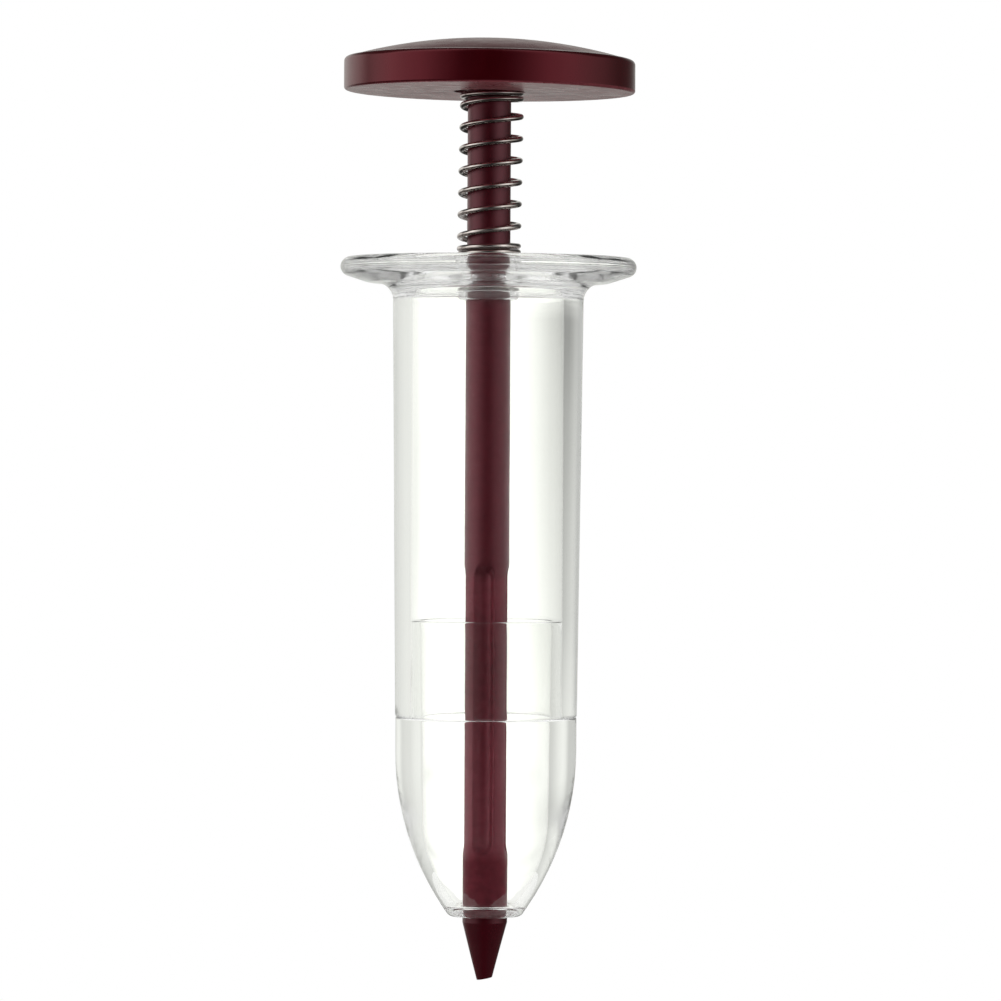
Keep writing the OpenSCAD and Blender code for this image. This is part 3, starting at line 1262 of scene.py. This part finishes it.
@dataclass
class Studio:
    """White studio: soft light by direction, a pale floor, a grey gel and the photograph's camera.

    The spans of the light are heights of a direction's unit vector, or its reach to the back, over
    which one light gives way to another.
    """

    frame_px: float = 1001.0
    focal_px: float = 5050.0
    pixel: float = 0.143 * MM
    horizon_row: float = 437.0
    origin_row: float = 283.3
    axis_column: float = 487.2
    roll: float = math.radians(0.34)
    sensor_w: float = 36.0
    clip: Span = (0.01, 100.0)
    floor_z: float = -165.0 * MM
    floor_r: float = 200.0 * MM
    floor_y: float = 175.0 * MM
    floor_points: int = 96
    floor_lift: float = 0.5
    floor_grey: float = 0.9
    floor_dim: float = 0.2
    gel_r: float = 120.0 * MM
    inner_glow: float = 0.78
    overhead: float = 0.06
    sweep_span: Span = (0.008, 0.06)
    glow_span: Span = (0.0, -0.3)
    foot_span: Span = (-0.42, -0.58)
    steep_span: Span = (0.15, 0.30)
    behind_span: Span = (0.0, 0.12)
    ceiling_span: Span = (0.27, 0.45)
    table_span: Span = (-0.15, -0.35)
    light_bounces: int = 48

    def build(self) -> None:
        """Make the camera, the world, the floor and the gel."""
        scene = bpy.context.scene
        scene.view_settings.view_transform = "Standard"
        scene.cycles.max_bounces = self.light_bounces
        scene.cycles.glossy_bounces = self.light_bounces
        scene.cycles.transmission_bounces = self.light_bounces
        self.build_camera()
        self.build_world()
        self.build_floor()
        self.build_gel()

    def build_camera(self) -> None:
        """Set the camera from the photograph's rows and columns, with a pinhole's geometry.

        A pixel spans self.pixel at the axis, so the distance is focal_px times that; the horizon's
        row gives the pitch, and the rows from the origin to the horizon give the camera's height.
        """
        data = bpy.data.cameras.new("photo_camera")
        data.sensor_width = self.sensor_w
        data.lens = self.sensor_w * self.focal_px / self.frame_px
        data.clip_start, data.clip_end = self.clip
        camera = linked("photo_camera", data)
        middle = self.frame_px / 2
        right = (middle - self.axis_column) * self.pixel
        distance = self.focal_px * self.pixel
        height = (self.origin_row - self.horizon_row) * self.pixel
        pitch = math.atan((middle - self.horizon_row) / self.focal_px)
        turn = Matrix.Rotation(math.pi / 2 - pitch, 4, "X") @ Matrix.Rotation(self.roll, 4, "Z")
        camera.matrix_world = Matrix.Translation((right, -distance, height)) @ turn
        bpy.context.scene.camera = camera

    def build_world(self) -> None:
        """Light the scene by direction, and show plain white to the camera.

        The azimuth runs through the ring of the room or, for light that comes through the clear
        plastic, the rings of the sweep, the shell and the rod within. Steep light from within the
        plastic, and light after more than one reflection, comes from an even glow that dims
        downwards; reflections meet a dark ceiling at the back and a dark table below.
        """
        world = bpy.data.worlds.new("studio")
        bpy.context.scene.world = world
        world.use_nodes = True
        graph = Graph(world.node_tree)
        direction = graph.add("ShaderNodeTexCoord").outputs["Generated"]
        parts = graph.add("ShaderNodeSeparateXYZ", Vector=direction)
        share = graph.azimuth(direction)
        rings = (ROOM, SHELL, INNER, FOOT, SWEEP, SWEEP_LOW)
        room, shell, inner, foot, level, tilted = (ring.background(graph, share) for ring in rings)
        dark, glowing, white = (graph.white(strength) for strength in (self.overhead, self.inner_glow, 1.0))
        rise = graph.maths("ABSOLUTE", parts.outputs["Z"])
        sweep = graph.blend(graph.between(rise, self.sweep_span, 0.0, 1.0), level, tilted)
        lower = graph.blend(graph.zone(direction, *self.foot_span), foot, dark)
        glow = graph.blend(graph.zone(direction, *self.glow_span), glowing, lower)
        path = graph.add("ShaderNodeLightPath")
        through = path.outputs["Is Transmission Ray"]
        passed = graph.maths("MULTIPLY", through, graph.straight(path))
        inside = graph.maths("MULTIPLY", through, graph.at_most(path.outputs["Diffuse Depth"], 0))
        steep = graph.maths("MULTIPLY", inside, graph.between(rise, self.steep_span, 0.0, 1.0))
        once = graph.at_most(path.outputs["Glossy Depth"], 1)
        deep = graph.maths("SUBTRACT", 1.0, once)
        second_wall = graph.maths("COMPARE", path.outputs["Transmission Depth"], SECOND_WALL_FACES, 0.5)
        by_wall = graph.maths("MAXIMUM", graph.first_wall(path), second_wall)
        walls = graph.blend(inside, room, graph.blend(by_wall, inner, shell))
        lifted = graph.blend(graph.maths("MAXIMUM", steep, deep), walls, glow)
        behind = graph.between(parts.outputs["Y"], self.behind_span, 0.0, 1.0)
        rising = graph.maths("MULTIPLY", graph.zone(direction, *self.ceiling_span), behind)
        sinking = graph.zone(direction, *self.table_span)
        shaded = graph.maths("MULTIPLY", graph.mirrored(path), graph.maths("MAXIMUM", rising, sinking))
        around = graph.blend(shaded, lifted, dark)
        seen = graph.blend(path.outputs["Is Camera Ray"], graph.blend(passed, around, sweep), white)
        graph.add("ShaderNodeOutputWorld", Surface=seen.outputs[0])

    def build_floor(self) -> None:
        """Lay a round pale floor well below the pulled-off nose; it shows white and keeps shadows."""
        angle = np.linspace(0, 2 * math.pi, self.floor_points, endpoint=False)
        rim = np.insert(arc_points((0.0, self.floor_y), self.floor_r, angle), 2, self.floor_z, axis=1)
        floor, graph = stage_piece("studio_floor", "pale_floor", rim, np.arange(len(rim))[None, :])
        path = graph.add("ShaderNodeLightPath")
        looked = graph.maths("MAXIMUM", path.outputs["Is Camera Ray"], path.outputs["Is Transmission Ray"])
        lift = graph.maths("MULTIPLY", looked, self.floor_lift)
        pale, dim = ((grey, grey, grey, 1.0) for grey in (self.floor_grey, self.floor_dim))
        paint = graph.add("ShaderNodeBsdfDiffuse", Color=graph.tint(graph.mirrored(path), pale, dim))
        glow = graph.add("ShaderNodeEmission", Color=WHITE, Strength=lift)
        both = graph.add("ShaderNodeAddShader")
        graph.feed(both.inputs[0], paint.outputs[0])
        graph.feed(both.inputs[1], glow.outputs[0])
        graph.add("ShaderNodeOutputMaterial", Surface=both.outputs[0])

    def build_gel(self) -> None:
        """Stand a curved grey gel round the right of the barrel's back, as a dark edge for the plastic.

        It is part of an upright cylinder about the axis. It tints only what is seen through the
        plastic, by the product of its two profiles.
        """
        angle = np.radians([azimuth for azimuth, _ in GEL_AROUND])
        rim = self.gel_r * np.column_stack([np.sin(angle), -np.cos(angle)])
        heights = (GEL_UP[0][0], GEL_UP[-1][0])
        points = np.concatenate([np.insert(rim, 2, height, axis=1) for height in heights])
        first = np.arange(len(angle) - 1)
        faces = np.column_stack([first, first + 1, first + 1 + len(angle), first + len(angle)])
        gel, graph = stage_piece("grey_gel", "grey_gel", points, faces)
        place = graph.place()
        around = graph.ramp(graph.azimuth(place), [(turn_share(turn), depth) for turn, depth in GEL_AROUND])
        depth = graph.maths("MULTIPLY", around, graph.profile(place, GEL_UP))
        path = graph.add("ShaderNodeLightPath")
        near = graph.maths("MAXIMUM", graph.straight(path), graph.first_wall(path))
        passed = graph.maths("MULTIPLY", path.outputs["Is Transmission Ray"], near)
        tint = graph.tint(graph.maths("MULTIPLY", depth, passed), WHITE, BLACK)
        film = graph.add("ShaderNodeBsdfTransparent", Color=tint)
        graph.add("ShaderNodeOutputMaterial", Surface=film.outputs[0])


def main() -> None:
    """Build the studio and the sub-assemblies in order."""
    logging.basicConfig(level=logging.INFO, format="%(name)s: %(message)s")
    Studio().build()
    barrel_finish = ClearPlastic("clear_styrene_barrel", scuffed_from=-4.0 * MM, scuffed_to=-1.0 * MM)
    nose_finish = ClearPlastic("clear_styrene_nose", scuffed_from=-88.3 * MM, scuffed_to=-88.7 * MM)
    barrel = Barrel.from_frame(barrel_finish)
    barrel.build()
    NoseCone.from_frame(barrel, nose_finish).build()
    # The button's colours, darker than the rod's, are painted shade: both are one plastic. Its paler colour
    # underneath and on the dome is painted light.
    button_finish = MaroonPlastic(
        "maroon_button",
        deep=(0.038, 0.0001, 0.0018),
        light=(0.056, 0.0003, 0.0030),
        pale_and_lit=(0.240, 0.0550, 0.0700),
        sheen=(1.0, 0.20, 0.27),
        gloss=0.16,
        scuff=0.08,
        wear_and_light=BUTTON_PAINTED_LIGHT,
        shine=BUTTON_SHINE,
    )
    rod_finish = MaroonPlastic("maroon_rod", wear_and_light=ROD_PALE_AND_ROUGH, shine=ROD_SHINE)
    plunger = Plunger.from_frame(rod_finish, button_finish)
    plunger.build_rod()
    plunger.build_button()
    ReturnSpring.from_frame(barrel, plunger, SpringSteel("spring_steel")).build()


if __name__ == "__main__":
    main()
